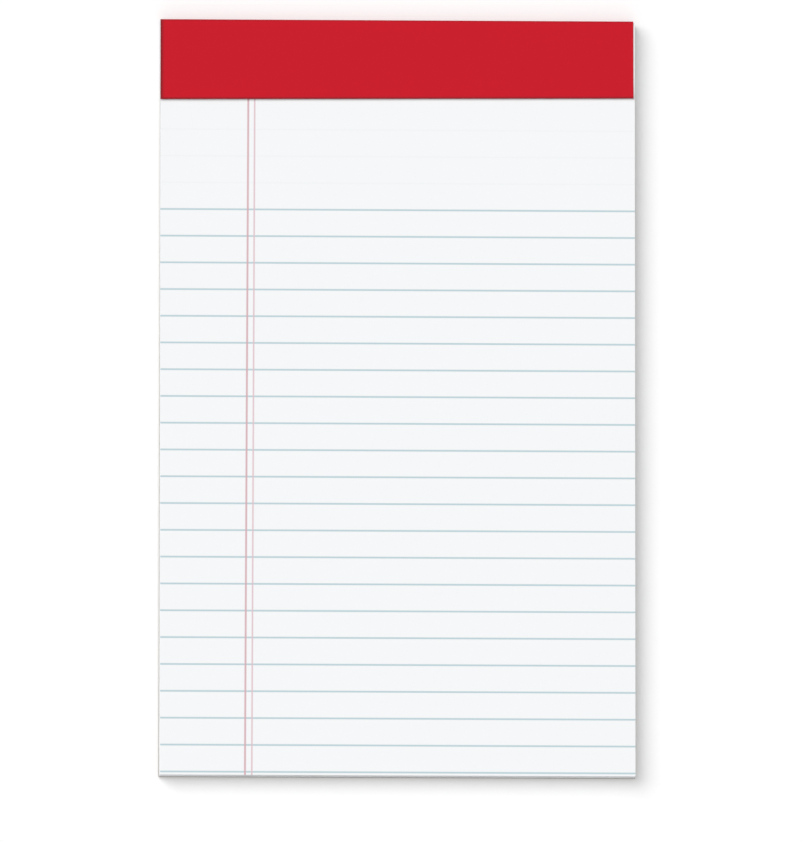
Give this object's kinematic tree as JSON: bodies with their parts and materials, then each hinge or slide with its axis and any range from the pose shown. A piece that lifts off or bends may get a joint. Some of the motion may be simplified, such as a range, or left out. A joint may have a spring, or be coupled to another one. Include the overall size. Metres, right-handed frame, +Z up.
{
  "type": "legal pad",
  "caption": "Small ruled writing pad: white perforated leaves on a chipboard back, bound at the head with red folded tape.",
  "frame": {"origin": "under the middle of the pad, on the surface that it lies on, which the tape's back flap touches", "axes": "+Z up out of the writing face, +Y along the length towards the bound head, +X to the right of a reader"},
  "size_m": [0.127, 0.2036, 0.0061],
  "materials": {
    "leaves": "matt white writing paper, ruled in pale blue with a double pale red margin line",
    "board": "uncoated grey-brown chipboard",
    "tape": "satin red coated binding paper",
    "wire": "bright galvanised stitching wire"
  },
  "bodies": {
    "root": {"pages": "leaves", "backing_board": "board", "binding_tape": "tape", "staples": "wire"}
  },
  "joints": []
}
